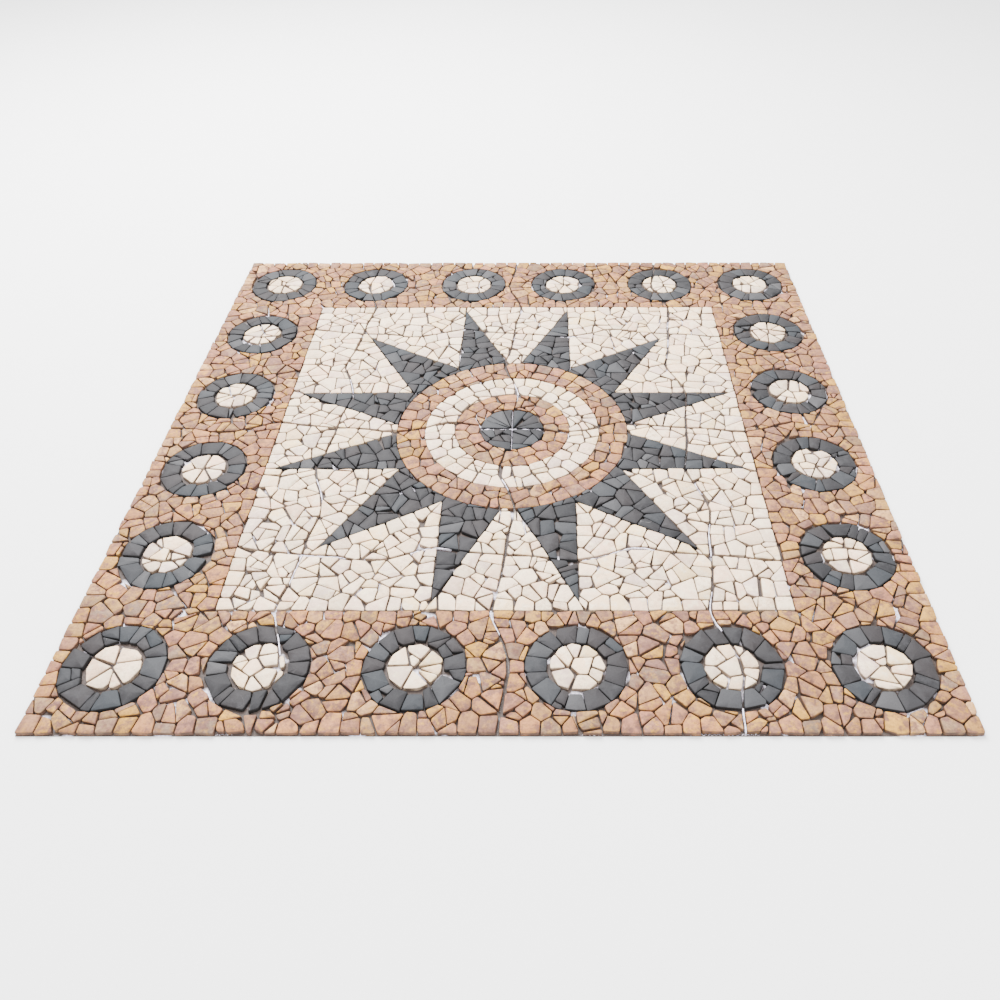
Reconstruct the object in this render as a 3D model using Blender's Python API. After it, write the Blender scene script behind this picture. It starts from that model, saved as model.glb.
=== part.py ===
"""Square floor mosaic of tumbled marble: a sun and star inside a border of dark rings.

All sizes are in metres. The panel lies on its underside with the origin at the middle of it, +X to
the right and +Y away from the front edge. It is laid from sixteen net-backed mats whose wavy edges
lock together. Each mat is one body: its net with the cream stones bonded to it. The rose and dark
stones of one group stand on the nets as bodies of their own.
"""
import math

import bmesh
import bpy
from mathutils import Vector

for old in list(bpy.data.objects):
    bpy.data.objects.remove(old, do_unlink=True)

# Panel and its layers
PANEL_SIDE = 1.200
NET_THICKNESS = 0.0010
STONE_THICKNESS = 0.0070
PANEL_TOP = NET_THICKNESS + STONE_THICKNESS
BEDDING_GAP = 0.0003
JOINT = 0.0020

# Mats and the wavy seams between them
MATS_PER_SIDE = 4
MAT_PITCH = PANEL_SIDE / MATS_PER_SIDE
SEAM_GAP = 0.0025
SEAM_STEPS = 10
SEAM_SHIFT_X = (-0.006, -0.003, 0.004)
SEAM_SHIFT_Y = (0.000, 0.003, 0.005)
GROOVE_BED = 0.0020
# Points of the edge that every mat has: a share of the mat's side, and the sway there
SEAM_WAVE = ((0.00, 0.000), (0.15, 0.003), (0.32, 0.012), (0.48, 0.001), (0.63, -0.016), (0.80, -0.007))

# Border of rose stones with a dark ring in every place of a regular pitch
BORDER_WIDTH = 0.194
RINGS_PER_SIDE = 6
RING_SPACE = 0.0600
RING_STONE_WIDTH = 0.0310
RING_SIDES = 16
RING_CENTRE_SIDES = 10
# How far each ring was laid off its regular place, along its row and then across it
FRONT_ROW_SHIFTS = (-0.013, -0.022, -0.016, -0.002, 0.003, 0.003)
BACK_ROW_SHIFTS = (-0.007, -0.008, 0.004, -0.002, 0.007, 0.003)
LEFT_COLUMN_SHIFTS = (0.003, -0.004, -0.001, 0.004)
RIGHT_COLUMN_SHIFTS = (0.000, 0.008, 0.011, 0.010)
FRONT_ROW_OFFSET = 0.003
BACK_ROW_OFFSET = -0.002
LEFT_COLUMN_OFFSET = -0.005
RIGHT_COLUMN_OFFSET = 0.003

# Sun in the middle and the star around it
SUN_DISC_RADIUS = 0.056
SUN_INNER_WIDTH = 0.044
SUN_CREAM_WIDTH = 0.052
SUN_OUTER_WIDTH = 0.049
SUN_SIDES = 32
STAR_TIP_MARGIN = 0.015
STAR_VALLEY_RISE = 0.011
STAR_FIRST_ANGLE = math.radians(3.5)
STAR_RAYS = 12

# Colours of the three marbles
CREAM = (0.80, 0.72, 0.61, 1.0)
ROSE = (0.60, 0.38, 0.25, 1.0)
DARK = (0.075, 0.080, 0.085, 1.0)


def stone(name, colour, roughness):
    """Makes the plain look of one marble."""
    material = bpy.data.materials.new(name)
    material.use_nodes = True
    shader = material.node_tree.nodes["Principled BSDF"]
    shader.inputs["Base Color"].default_value = colour
    shader.inputs["Roughness"].default_value = roughness
    return material


CREAM_STONE = stone("cream_stone", CREAM, 0.75)
ROSE_STONE = stone("rose_stone", ROSE, 0.75)
DARK_STONE = stone("dark_stone", DARK, 0.65)


def wave(along):
    """Sway of a mat edge at a distance along it, a smooth curve through the points of SEAM_WAVE."""
    along = along / MAT_PITCH % 1.0
    count = len(SEAM_WAVE)
    index = max(i for i in range(count) if SEAM_WAVE[i][0] <= along)
    points = []
    for step in (-1, 0, 1, 2):
        turns, place = divmod(index + step, count)
        points.append((SEAM_WAVE[place][0] + turns, SEAM_WAVE[place][1]))
    (t0, v0), (t1, v1), (t2, v2), (t3, v3) = points
    span = t2 - t1
    start_slope = (v2 - v0) / (t2 - t0) * span
    end_slope = (v3 - v1) / (t3 - t1) * span
    u = (along - t1) / span
    rise = u * u * (3.0 - 2.0 * u)
    return v1 + (v2 - v1) * rise + start_slope * u * (1.0 - u) ** 2 - end_slope * u * u * (1.0 - u)


def seam_x(number, y, offset=0.0):
    """X of a seam that runs front to back, or of the panel's side for the first and last."""
    if number in (0, MATS_PER_SIDE):
        return number * MAT_PITCH
    return number * MAT_PITCH + SEAM_SHIFT_X[number - 1] + wave(y) + offset


def seam_y(number, x, offset=0.0):
    """Y of a seam that runs left to right, or of the panel's edge for the first and last."""
    if number in (0, MATS_PER_SIDE):
        return number * MAT_PITCH
    return number * MAT_PITCH + SEAM_SHIFT_Y[number - 1] - wave(x) + offset


def crossing(column, row, offset_x, offset_y):
    """Point where two seams cross."""
    x = column * MAT_PITCH
    y = row * MAT_PITCH
    for _ in range(40):
        x = seam_x(column, y, offset_x)
        y = seam_y(row, x, offset_y)
    return x, y


def mat_outline(row, column):
    """Outline of one mat, half a seam gap inside each seam."""
    half = SEAM_GAP / 2
    front_left = crossing(column, row, half, half)
    front_right = crossing(column + 1, row, -half, half)
    back_right = crossing(column + 1, row + 1, -half, -half)
    back_left = crossing(column, row + 1, half, -half)
    points = []
    for start, end, seam, offset, runs_in_x in (
        (front_left, front_right, row, half, True),
        (front_right, back_right, column + 1, -half, False),
        (back_right, back_left, row + 1, -half, True),
        (back_left, front_left, column, half, False),
    ):
        steps = 1 if seam in (0, MATS_PER_SIDE) else SEAM_STEPS
        for step in range(steps):
            part = step / steps
            x = start[0] + (end[0] - start[0]) * part
            y = start[1] + (end[1] - start[1]) * part
            if step and runs_in_x:
                y = seam_y(seam, x, offset)
            elif step:
                x = seam_x(seam, y, offset)
            points.append((x, y))
    return points


def regular(centre, radius, sides, turn=0.0):
    """Outline with equal sides around a centre."""
    angles = [turn + math.tau * i / sides for i in range(sides)]
    return [(centre[0] + radius * math.cos(a), centre[1] + radius * math.sin(a)) for a in angles]


def rectangle(left, front, right, back):
    """Four corners of a rectangle."""
    return [(left, front), (right, front), (right, back), (left, back)]


def inset(outline, distance):
    """Moves each side of a counter-clockwise outline inward."""
    lines = []
    for start, end in zip(outline, outline[1:] + outline[:1]):
        side = Vector(end) - Vector(start)
        inward = Vector((-side.y, side.x)).normalized()
        lines.append((Vector(start) + inward * distance, side))
    moved = []
    for (p, d), (q, e) in zip(lines[-1:] + lines[:-1], lines):
        bend = d.x * e.y - d.y * e.x
        along = ((q.x - p.x) * e.y - (q.y - p.y) * e.x) / bend if abs(bend) > 1e-12 else 1.0
        moved.append(tuple(p + d * along))
    return moved


def prism(name, outline, bottom, top):
    """Upright solid with the given outline; X and Y run from the panel's front left corner."""
    half = PANEL_SIDE / 2
    mesh = bmesh.new()
    low = [mesh.verts.new((x - half, y - half, bottom)) for x, y in outline]
    high = [mesh.verts.new((x - half, y - half, top)) for x, y in outline]
    mesh.faces.new(low[::-1])
    mesh.faces.new(high)
    for i in range(len(outline)):
        j = (i + 1) % len(outline)
        mesh.faces.new((low[i], low[j], high[j], high[i]))
    data = bpy.data.meshes.new(name)
    mesh.to_mesh(data)
    mesh.free()
    solid = bpy.data.objects.new(name, data)
    bpy.context.collection.objects.link(solid)
    return solid


def combine(target, tool, operation, keep_tool=False):
    """Cuts, keeps or adds with a second solid and leaves the result on the first."""
    step = target.modifiers.new("step", 'BOOLEAN')
    step.operation = operation
    step.solver = 'EXACT'
    step.object = tool
    graph = bpy.context.evaluated_depsgraph_get()
    result = bpy.data.meshes.new_from_object(target.evaluated_get(graph))
    target.modifiers.clear()
    target.data = result
    if not keep_tool:
        bpy.data.objects.remove(tool, do_unlink=True)


def finish(solid, name, material):
    """Merges flat faces, gives the solid its name and its marble."""
    mesh = bmesh.new()
    mesh.from_mesh(solid.data)
    bmesh.ops.remove_doubles(mesh, verts=mesh.verts, dist=1e-5)
    bmesh.ops.dissolve_limit(mesh, angle_limit=math.radians(0.5), verts=mesh.verts, edges=mesh.edges)
    bmesh.ops.triangulate(mesh, faces=mesh.faces)
    bmesh.ops.recalc_face_normals(mesh, faces=mesh.faces)
    mesh.to_mesh(solid.data)
    mesh.free()
    solid.name = name
    solid.data.name = name
    solid.data.materials.clear()
    solid.data.materials.append(material)
    return solid


STAND = NET_THICKNESS + BEDDING_GAP
ABOVE = PANEL_TOP + 0.002
MIDDLE = (PANEL_SIDE / 2, PANEL_SIDE / 2)
RING_PITCH = PANEL_SIDE / RINGS_PER_SIDE
RING_RADIUS = (RING_PITCH - RING_SPACE) / 2
RING_CENTRE_RADIUS = RING_RADIUS - RING_STONE_WIDTH
SUN_INNER_RADIUS = SUN_DISC_RADIUS + SUN_INNER_WIDTH
SUN_CREAM_RADIUS = SUN_INNER_RADIUS + SUN_CREAM_WIDTH
SUN_OUTER_RADIUS = SUN_CREAM_RADIUS + SUN_OUTER_WIDTH
RAYS_PER_QUARTER = STAR_RAYS // 4
RAY_ANGLE = math.tau / STAR_RAYS
STAR_REACH = PANEL_SIDE / 2 - BORDER_WIDTH - STAR_TIP_MARGIN
STAR_TIP_RADIUS = STAR_REACH / math.cos(RAY_ANGLE / 2)


def ring_places():
    """Centres of the dark rings, from the front left corner round to the right."""
    near = BORDER_WIDTH / 2
    far = PANEL_SIDE - near
    along = [RING_PITCH * (i + 0.5) for i in range(RINGS_PER_SIDE)]
    front = [(a + shift, near + FRONT_ROW_OFFSET) for a, shift in zip(along, FRONT_ROW_SHIFTS)]
    back = [(a + shift, far + BACK_ROW_OFFSET) for a, shift in zip(along, BACK_ROW_SHIFTS)]
    left = [(near + LEFT_COLUMN_OFFSET, a + shift) for a, shift in zip(along[1:-1], LEFT_COLUMN_SHIFTS)]
    right = [(far + RIGHT_COLUMN_OFFSET, a + shift) for a, shift in zip(along[1:-1], RIGHT_COLUMN_SHIFTS)]
    return front + right + back[::-1] + left[::-1]


ring_centres = ring_places()


def reaches(centre, radius, outline):
    """Whether a circle comes within the box around an outline."""
    xs = [x for x, y in outline]
    ys = [y for x, y in outline]
    beside = max(min(xs) - centre[0], centre[0] - max(xs), 0.0)
    beyond = max(min(ys) - centre[1], centre[1] - max(ys), 0.0)
    return math.hypot(beside, beyond) < radius


def annulus(name, centre, outer, outer_sides, inner, inner_sides, bottom, top):
    """Flat ring with many-sided outlines."""
    ring = prism(name, regular(centre, outer, outer_sides), bottom, top)
    hole = prism("hole", regular(centre, inner, inner_sides), bottom - 0.001, top + 0.001)
    combine(ring, hole, 'DIFFERENCE')
    return ring


def star_outline(quarter):
    """Rays of one quarter of the star and the arc they stand on."""
    valley = SUN_OUTER_RADIUS + STAR_VALLEY_RISE
    points = [(SUN_OUTER_RADIUS, STAR_FIRST_ANGLE)]
    for ray in range(RAYS_PER_QUARTER):
        points.append((STAR_TIP_RADIUS, RAY_ANGLE * (ray + 0.5)))
        points.append((valley, RAY_ANGLE * (ray + 1)))
    points[-1] = (SUN_OUTER_RADIUS, math.pi / 2 - STAR_FIRST_ANGLE)
    count = SUN_SIDES // 4
    points += [(SUN_OUTER_RADIUS, math.tau * (count - i) / SUN_SIDES) for i in range(1, count)]
    turn = quarter * math.pi / 2
    return [(MIDDLE[0] + r * math.cos(a + turn), MIDDLE[1] + r * math.sin(a + turn)) for r, a in points]


def seam_groove(number, runs_in_x):
    """Narrow strip along one whole seam, used to mark the seam on stones that lie across it."""
    half = SEAM_GAP / 2
    steps = SEAM_STEPS * MATS_PER_SIDE
    places = [PANEL_SIDE * i / steps for i in range(steps + 1)]
    if runs_in_x:
        near = [(x, seam_y(number, x, -half)) for x in places]
        far = [(x, seam_y(number, x, half)) for x in reversed(places)]
    else:
        near = [(seam_x(number, y, half), y) for y in places]
        far = [(seam_x(number, y, -half), y) for y in reversed(places)]
    return prism("groove", near + far, STAND + GROOVE_BED, ABOVE)


grooves_x = {i: seam_groove(i, False) for i in range(1, MATS_PER_SIDE)}
grooves_y = {j: seam_groove(j, True) for j in range(1, MATS_PER_SIDE)}


def mark_seams(solid, margin=0.002):
    """Cuts the seams that cross a solid into its top."""
    half = PANEL_SIDE / 2
    xs = [v.co.x + half for v in solid.data.vertices]
    ys = [v.co.y + half for v in solid.data.vertices]
    middle_x = (min(xs) + max(xs)) / 2
    middle_y = (min(ys) + max(ys)) / 2
    for i, groove in grooves_x.items():
        if min(xs) + margin < seam_x(i, middle_y) < max(xs) - margin:
            combine(solid, groove, 'DIFFERENCE', keep_tool=True)
    for j, groove in grooves_y.items():
        if min(ys) + margin < seam_y(j, middle_x) < max(ys) - margin:
            combine(solid, groove, 'DIFFERENCE', keep_tool=True)


# Mats: the net with the cream stones of the field, the sun and the ring centres
outer_box = rectangle(-0.1, -0.1, PANEL_SIDE + 0.1, PANEL_SIDE + 0.1)
field = rectangle(BORDER_WIDTH, BORDER_WIDTH, PANEL_SIDE - BORDER_WIDTH, PANEL_SIDE - BORDER_WIDTH)
star_outlines = [star_outline(quarter) for quarter in range(4)]

for row in range(MATS_PER_SIDE):
    for column in range(MATS_PER_SIDE):
        outline = mat_outline(row, column)
        mat = prism("mat", outline, 0.0, PANEL_TOP)
        outer_mat = row in (0, MATS_PER_SIDE - 1) or column in (0, MATS_PER_SIDE - 1)
        if outer_mat:
            border_cut = prism("border_cut", outer_box, NET_THICKNESS, ABOVE)
            combine(border_cut, prism("field", inset(field, JOINT / 2), 0.0, ABOVE + 0.001), 'DIFFERENCE')
            for centre in ring_centres:
                if reaches(centre, RING_CENTRE_RADIUS, outline):
                    keep = regular(centre, RING_CENTRE_RADIUS - JOINT, RING_CENTRE_SIDES)
                    combine(border_cut, prism("keep", keep, 0.0, ABOVE + 0.001), 'DIFFERENCE')
            combine(mat, border_cut, 'DIFFERENCE')
        for star in star_outlines:
            combine(mat, prism("star_cut", star, NET_THICKNESS, ABOVE), 'DIFFERENCE')
        if not outer_mat:
            outer_cut = annulus("cut", MIDDLE, SUN_OUTER_RADIUS, SUN_SIDES, SUN_CREAM_RADIUS, SUN_SIDES,
                                NET_THICKNESS, ABOVE)
            combine(mat, outer_cut, 'DIFFERENCE')
            inner_cut = prism("cut", regular(MIDDLE, SUN_INNER_RADIUS, SUN_SIDES), NET_THICKNESS, ABOVE)
            combine(mat, inner_cut, 'DIFFERENCE')
        finish(mat, f"cream_mat_{row + 1}_{column + 1}", CREAM_STONE)

# Rose border stones, one group on each outer mat
for row in range(MATS_PER_SIDE):
    for column in range(MATS_PER_SIDE):
        if row not in (0, MATS_PER_SIDE - 1) and column not in (0, MATS_PER_SIDE - 1):
            continue
        outline = mat_outline(row, column)
        border = prism("border", outline, STAND, PANEL_TOP)
        combine(border, prism("cut", inset(field, -JOINT / 2), 0.0, ABOVE), 'DIFFERENCE')
        for centre in ring_centres:
            if reaches(centre, RING_RADIUS, outline):
                combine(border, prism("cut", regular(centre, RING_RADIUS, RING_SIDES), 0.0, ABOVE), 'DIFFERENCE')
        finish(border, f"rose_border_{row + 1}_{column + 1}", ROSE_STONE)

# Dark rings, numbered from the front left corner round to the right
for number, centre in enumerate(ring_centres, start=1):
    ring = annulus("ring", centre, RING_RADIUS - JOINT, RING_SIDES, RING_CENTRE_RADIUS, RING_CENTRE_SIDES,
                   STAND, PANEL_TOP)
    mark_seams(ring)
    finish(ring, f"dark_ring_{number:02d}", DARK_STONE)

# Star of twelve dark rays, in quarters from the right hand back one
for quarter, outline in enumerate(star_outlines, start=1):
    star = prism("star", inset(outline, JOINT), STAND, PANEL_TOP)
    mark_seams(star)
    finish(star, f"star_quarter_{quarter}", DARK_STONE)

# Sun: rose rings inside and outside the cream one, and the dark disc
middle_mats = [(2, 2), (2, 1), (1, 1), (1, 2)]
for quarter, (row, column) in enumerate(middle_mats, start=1):
    rose = annulus("rose", MIDDLE, SUN_OUTER_RADIUS - JOINT / 2, SUN_SIDES, SUN_CREAM_RADIUS + JOINT, SUN_SIDES,
                   STAND, PANEL_TOP)
    combine(rose, prism("keep", mat_outline(row, column), 0.0, ABOVE), 'INTERSECT')
    finish(rose, f"sun_outer_rose_{quarter}", ROSE_STONE)

inner = annulus("rose", MIDDLE, SUN_INNER_RADIUS - JOINT, SUN_SIDES, SUN_DISC_RADIUS + JOINT / 2, RING_SIDES,
                STAND, PANEL_TOP)
mark_seams(inner)
finish(inner, "sun_inner_rose", ROSE_STONE)

disc = prism("disc", regular(MIDDLE, SUN_DISC_RADIUS - JOINT / 2, RING_SIDES), STAND, PANEL_TOP)
mark_seams(disc)
finish(disc, "sun_dark_disc", DARK_STONE)

for groove in list(grooves_x.values()) + list(grooves_y.values()):
    bpy.data.objects.remove(groove, do_unlink=True)
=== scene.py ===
import math

import bpy
import numpy as np
from mathutils import Matrix, Vector


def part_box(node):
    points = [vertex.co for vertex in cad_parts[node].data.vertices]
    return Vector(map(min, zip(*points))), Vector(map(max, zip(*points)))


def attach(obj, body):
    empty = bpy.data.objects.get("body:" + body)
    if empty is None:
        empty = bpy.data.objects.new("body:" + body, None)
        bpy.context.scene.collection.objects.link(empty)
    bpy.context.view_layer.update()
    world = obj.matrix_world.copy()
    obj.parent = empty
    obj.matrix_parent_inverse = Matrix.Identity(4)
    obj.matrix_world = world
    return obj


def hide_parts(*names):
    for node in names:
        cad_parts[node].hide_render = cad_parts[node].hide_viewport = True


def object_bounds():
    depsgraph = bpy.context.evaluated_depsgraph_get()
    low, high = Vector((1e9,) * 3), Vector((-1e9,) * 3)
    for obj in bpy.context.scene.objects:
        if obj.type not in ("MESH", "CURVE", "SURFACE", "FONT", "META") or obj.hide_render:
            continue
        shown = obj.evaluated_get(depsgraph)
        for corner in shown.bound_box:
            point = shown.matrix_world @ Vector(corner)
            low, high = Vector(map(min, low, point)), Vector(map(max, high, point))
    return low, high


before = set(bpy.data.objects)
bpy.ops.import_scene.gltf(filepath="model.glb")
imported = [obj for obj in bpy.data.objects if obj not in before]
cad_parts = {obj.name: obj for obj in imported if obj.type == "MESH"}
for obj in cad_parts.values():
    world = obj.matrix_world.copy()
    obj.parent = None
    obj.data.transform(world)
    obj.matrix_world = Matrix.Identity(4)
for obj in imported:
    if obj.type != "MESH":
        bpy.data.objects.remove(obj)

# A floor mosaic of tumbled marble: every stone laid on the sixteen netted mats of the frame.
# Sizes are in metres and places are in the frame: origin in the middle of the underside, +Z up.

cad_low, cad_high = [tuple(float(v) for v in corner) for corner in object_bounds()]

# Sizes read from the frame, and the joint between the parts of the drawing
PANEL_HALF = cad_high[0]
TOP = cad_high[2]
FOOT = float(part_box("dark_ring_01")[0][2])
JOINT = 0.0020
FIELD_HALF = -float(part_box("rose_border_2_1")[1][0]) - JOINT / 2

# The net: sheets under the mats, strips of threads in the seams and the cross, loops at the front edge
NET_TOP = 0.0010
NET_GAP = 0.00015
NET_EDGE_STEPS = 16
FRAY_STEP = 0.005
FRAY_WIDTH = 0.0016
FRAY_TOP = 0.0060
FRAY_DROP = 0.28
FRAY_LEAST = 0.0003
CROSS_STRIP_WIDTHS = (FRAY_WIDTH * 0.35, FRAY_WIDTH)
CROSS_STRIP_SETBACK = 0.002
LOOP_SPANS = ((0.098, 0.128), (0.234, 0.325), (-0.352, -0.331))
LOOP_REACH = 0.0026
LOOP_LENGTH = 0.0052
LOOP_INSET = 0.0006
LOOP_WIDTH = 0.0008
LOOP_FOOT = 0.0002
LOOP_TOP = 0.0016
LOOP_SETBACK = 0.0028

# The sun and the star
ORIGIN = (0.0, 0.0)
DISC_RADIUS = 0.056
INNER_ROSE_RADIUS = 0.100
CREAM_SUN_RADIUS = 0.152
SUN_RADIUS = 0.201
DISC_STONE_LENGTH = 0.0115
DISC_STONE_AREA = 0.00044
CROSS_GAPS = (0.0013, 0.0028)
SUN_STONE_SPACING = 0.0265
SUN_STONE_AREA = 0.00066
SUN_RIM_SIDES = 44
DISC_QUARTER_SIDES = 8
STAR_TIP_MARGIN = 0.015
STAR_VALLEY_RISE = 0.011
STAR_FIRST_ANGLE = math.radians(3.5)
STAR_RAYS = 12
RAYS_PER_QUARTER = STAR_RAYS // 4
RAY_ANGLE = math.tau / STAR_RAYS
STAR_TIP_RADIUS = (FIELD_HALF - STAR_TIP_MARGIN) / math.cos(RAY_ANGLE / 2)

# The rings of the border
RING_COUNT = 20
RING_RADIUS = 0.070
RING_MIDDLE_RADIUS = 0.039
RING_STONE_LENGTH = 0.0235
RING_END_SWAY = (-0.0006, 0.0022)
RING_SPLIT_SHARE = 0.13
RING_MIDDLE_SIDES = 11
RING_MIDDLE_SHARES = (0.92, 1.0)

# Mats and their seams
MATS_PER_SIDE = 4
MAT_PITCH = 2 * PANEL_HALF / MATS_PER_SIDE
SEAM_GAP = 0.0015
FRAYED_GAP = 0.0029
SEAM_SPARE = 0.0035
SEAM_STEPS = 65
CROSSING_ROUNDS = 30
ROW_OFF_SEAM = 0.006
SEAM_SHIFT_X = (-0.006, -0.003, 0.004)
SEAM_SHIFT_Y = (0.000, 0.003, 0.005)
WAVE_PLACES = np.array((0.00, 0.15, 0.32, 0.48, 0.63, 0.80))
WAVE_SWAYS = np.array((0.000, 0.003, 0.012, 0.001, -0.016, -0.007))

# Stretches of seam that gape and show the net's frayed white edge: x for a seam that runs front to back
# or y for one that runs left to right, the seam's number, and the stretch's start and end
FRAYED = (('x', 1, -0.185, -0.126), ('x', 1, -0.355, -0.299), ('x', 1, 0.109, 0.151),
          ('x', 2, -0.155, -0.126), ('x', 2, -0.446, -0.403), ('x', 2, 0.100, 0.135),
          ('x', 3, -0.163, -0.140), ('x', 3, -0.300, -0.233), ('x', 3, -0.440, -0.366),
          ('x', 3, 0.260, 0.290), ('y', 1, -0.315, -0.240), ('y', 1, -0.144, -0.080),
          ('y', 1, 0.112, 0.224), ('y', 3, -0.110, -0.075), ('y', 3, 0.085, 0.133),
          ('x', 3, -0.598, -0.560), ('x', 1, -0.480, -0.440))

# Ground of a patch: its sample points, the areas of stones, and the heaps that are broken to stones
SAMPLE_STEP = 0.004
CREAM_STONE_AREA = 0.00078
ROSE_STONE_AREA = 0.00064
DARK_STONE_AREA = 0.00115
CENTRE_STONE_AREA = 0.00052
STONES_PER_HEAP = 1.7
SETTLING_ROUNDS = 3
HEAP_SHARE = 0.95
ROW_CLEARANCE = 0.62
ROW_GROUND = 0.72
NEIGHBOURS = 39
REACH = 0.070

# Breaking and cutting: turn and shift of a break, and what is too long or too small to stay
LONGEST_STONE = 0.043
SPLIT_TURN = 0.30
SPLIT_SHIFT = 0.12
SECTOR_OVERLAP = 0.010
CIRCLE_REACH = 0.0013
SMALLEST_STONE = 0.00003
SMALLEST_PIECE = 0.00006
SMALLEST_OVERLAP = 1e-7
HAIR = 1e-5

# Dressing: joints by finish, uneven edges inside and on the panel's outer sides, lost and worn corners
JOINTS = {"cream_marble": 0.0013, "rose_marble": 0.0011, "dark_marble": 0.0003}
SHORT_EDGE = 0.0055
EDGE_TILT = math.radians(2.2)
OUTER_TILT = math.radians(3.0)
OUTER_SWAY = 0.0014
LOST_CORNER_SHARE = 0.36
CORNER_LOSS = (0.002, 0.0045)
CORNER_ROUNDING = 0.0025
SHORTEST_WORN = 0.0008

# First rows, laid along the lines of the drawing: depth of the row and spacing of its stones
CREAM_ROW = (0.023, 0.026)
EDGE_ROW = (0.025, 0.025)
ROSE_ROW = (0.019, 0.025)
RING_ROW = (0.022, 0.026)
DARK_ROW = (0.030, 0.036)

# Shape of one stone from the side: depth under the top and distance in from the foot, level by level,
# and how far down its side each level counts for the dust and painted shade, from the crown to the foot
LEVELS = ((0.0022, 0.0003), (0.0009, 0.0006), (0.0003, 0.0015))
DEPTHS = (0.0, 0.1, 0.35, 0.7, 1.0)
ARRIS_WEAR = 0.00018
HEIGHT_SPREAD = 0.0008
TILT_SPREAD = 0.014
WORN_ABOVE_FOOT = 0.001
SMOOTH_BELOW = math.radians(65)


# Seams

def wave(along):
    """Sway of a mat edge at a distance along it: a smooth closed curve through the wave's points."""
    share = (np.asarray(along, float) + PANEL_HALF) / MAT_PITCH % 1.0
    start = np.searchsorted(WAVE_PLACES, share, side="right") - 1
    count = len(WAVE_PLACES)
    places = [WAVE_PLACES[(start + k) % count] + (start + k) // count for k in (-1, 0, 1, 2)]
    sways = [WAVE_SWAYS[(start + k) % count] for k in (-1, 0, 1, 2)]
    span = places[2] - places[1]
    slope_in = (sways[2] - sways[0]) / (places[2] - places[0]) * span
    slope_out = (sways[3] - sways[1]) / (places[3] - places[1]) * span
    u = (share - places[1]) / span
    step = u * u * (3 - 2 * u)
    return sways[1] + (sways[2] - sways[1]) * step + slope_in * u * (1 - u) ** 2 - slope_out * u * u * (1 - u)


def seam_x(number, y):
    """X of a seam that runs front to back; seams are numbered from 1."""
    return number * MAT_PITCH - PANEL_HALF + SEAM_SHIFT_X[number - 1] + wave(y)


def seam_y(number, x):
    """Y of a seam that runs left to right."""
    return number * MAT_PITCH - PANEL_HALF + SEAM_SHIFT_Y[number - 1] - wave(x)


SEAM_NUMBERS = range(1, MATS_PER_SIDE)

# For each seam, its way, its number and a function that tells how far a point lies beyond it
SEAMS = [('x', i, lambda x, y, i=i: x - seam_x(i, y)) for i in SEAM_NUMBERS]
SEAMS += [('y', j, lambda x, y, j=j: y - seam_y(j, x)) for j in SEAM_NUMBERS]


def mat_of(points):
    """Row and column, from 0, of the mat that each point lies on."""
    x, y = points.T
    columns = sum((x > seam_x(i, y)).astype(int) for i in SEAM_NUMBERS)
    rows = sum((y > seam_y(j, x)).astype(int) for j in SEAM_NUMBERS)
    return rows, columns


# Outlines: lists of (x, y) that run counter-clockwise, all of them convex

def square(half, centre=ORIGIN):
    """Corners of a square round a centre."""
    low_x, low_y = centre[0] - half, centre[1] - half
    high_x, high_y = centre[0] + half, centre[1] + half
    return [(low_x, low_y), (high_x, low_y), (high_x, high_y), (low_x, high_y)]


def edges(outline):
    """Each corner of an outline with the next one."""
    return zip(outline, outline[1:] + outline[:1])


def flipped(normal):
    """The opposite direction."""
    return -normal[0], -normal[1]


def clip(outline, point, normal):
    """Part of an outline behind the line through a point; what lies ahead along the normal goes."""
    kept = []
    for (ax, ay), (bx, by) in edges(outline):
        a = (ax - point[0]) * normal[0] + (ay - point[1]) * normal[1]
        b = (bx - point[0]) * normal[0] + (by - point[1]) * normal[1]
        if a <= 0:
            kept.append((ax, ay))
        if a * b < 0:
            t = a / (a - b)
            kept.append((ax + (bx - ax) * t, ay + (by - ay) * t))
    return kept if len(kept) > 2 else []


def area(outline):
    """Area inside an outline."""
    return sum(ax * by - bx * ay for (ax, ay), (bx, by) in edges(outline)) / 2


def middle(outline):
    """Mean of an outline's corners."""
    return sum(x for x, y in outline) / len(outline), sum(y for x, y in outline) / len(outline)


def polar(radius, angle, centre=ORIGIN):
    """Point at a radius and an angle from a centre."""
    return centre[0] + radius * math.cos(angle), centre[1] + radius * math.sin(angle)


def sides_of(corners):
    """The sides of an outline as a point and an outward normal each."""
    sides = []
    for (ax, ay), (bx, by) in edges(corners):
        length = math.hypot(bx - ax, by - ay)
        sides.append(((ax, ay), ((by - ay) / length, (ax - bx) / length)))
    return sides


def within(outline, sides):
    """Part of an outline inside a convex shape."""
    for point, normal in sides:
        outline = clip(outline, point, normal)
    return outline


def keep_inside(sides):
    """Trim that keeps outlines inside a convex shape."""
    def trim(outlines):
        kept = [within(outline, sides) for outline in outlines]
        return [outline for outline in kept if outline]
    return trim


def outside(outlines, sides):
    """Cuts outlines to the ground outside a convex shape, each in as many pieces as it takes."""
    pieces = []
    for outline in outlines:
        if area(within(outline, sides)) < SMALLEST_OVERLAP:
            pieces.append(outline)
            continue
        ahead = [(area(clip(outline, point, flipped(normal))), point, normal) for point, normal in sides]
        for _, point, normal in sorted(ahead, reverse=True):
            piece = clip(outline, point, flipped(normal))
            if area(piece) > SMALLEST_PIECE:
                pieces.append(piece)
            outline = clip(outline, point, normal)
    return pieces


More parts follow.
